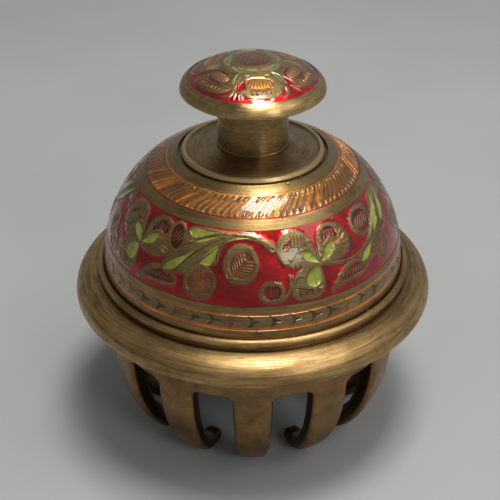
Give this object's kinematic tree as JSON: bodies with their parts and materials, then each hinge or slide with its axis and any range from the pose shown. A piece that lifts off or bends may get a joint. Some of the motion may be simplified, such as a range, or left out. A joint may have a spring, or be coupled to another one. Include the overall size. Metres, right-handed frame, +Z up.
{
  "type": "claw hand bell",
  "caption": "Domed brass hand bell with a mushroom knob and enamelled bands, standing on inward-curled claws round its rim, with a ball clapper hung inside.",
  "frame": {"origin": "on the ground plane under the bell's axis, level with the lowest line of the claws", "axes": "+Z up along the bell's axis; one claw points along -Y"},
  "size_m": [0.0898, 0.0898, 0.0987],
  "materials": {
    "rim_brass": "aged cast brass, lathe-brushed on the flange, dark in the grooves",
    "dome_brass": "aged brass under clear lacquer",
    "disc_brass": "dark brown patina with a polished edge",
    "knob_brass": "turned brass with a worn satin polish",
    "red_enamel": "glossy translucent red enamel paint",
    "amber_lacquer": "amber brown lacquer in engraved lines",
    "hanger_steel": "dull zinc-plated steel",
    "wire_steel": "dark drawn wire",
    "clapper_iron": "blackened cast iron"
  },
  "bodies": {
    "bell": {"rim_flange": "rim_brass", "claw_01": "rim_brass", "claw_02": "rim_brass", "claw_03": "rim_brass", "claw_04": "rim_brass", "claw_05": "rim_brass", "claw_06": "rim_brass", "claw_07": "rim_brass", "claw_08": "rim_brass", "claw_09": "rim_brass", "claw_10": "rim_brass", "claw_11": "rim_brass", "claw_12": "rim_brass", "bell_dome": "dome_brass", "scroll_band_enamel": "red_enamel", "hatch_band_lacquer": "amber_lacquer", "leaf_band_lacquer": "amber_lacquer", "crown_disc": "disc_brass", "handle_knob": "knob_brass", "cap_enamel": "red_enamel", "hanger_bolt": "hanger_steel", "hanger_washer": "hanger_steel", "hanger_nut": "hanger_steel"},
    "link": {"clapper_link": "wire_steel"},
    "clapper": {"clapper_rod": "wire_steel", "clapper_ball": "clapper_iron"}
  },
  "joints": [
    {"name": "link_swing", "type": "hinge", "parent": "bell", "child": "link", "pos_m": [0, 0, 0.0569], "axis": [1, 0, 0], "range_deg": [-37, 37]},
    {"name": "clapper_swing", "type": "hinge", "parent": "link", "child": "clapper", "pos_m": [0, 0, 0.04966], "axis": [0, 1, 0], "range_deg": [-8, 8]}
  ]
}
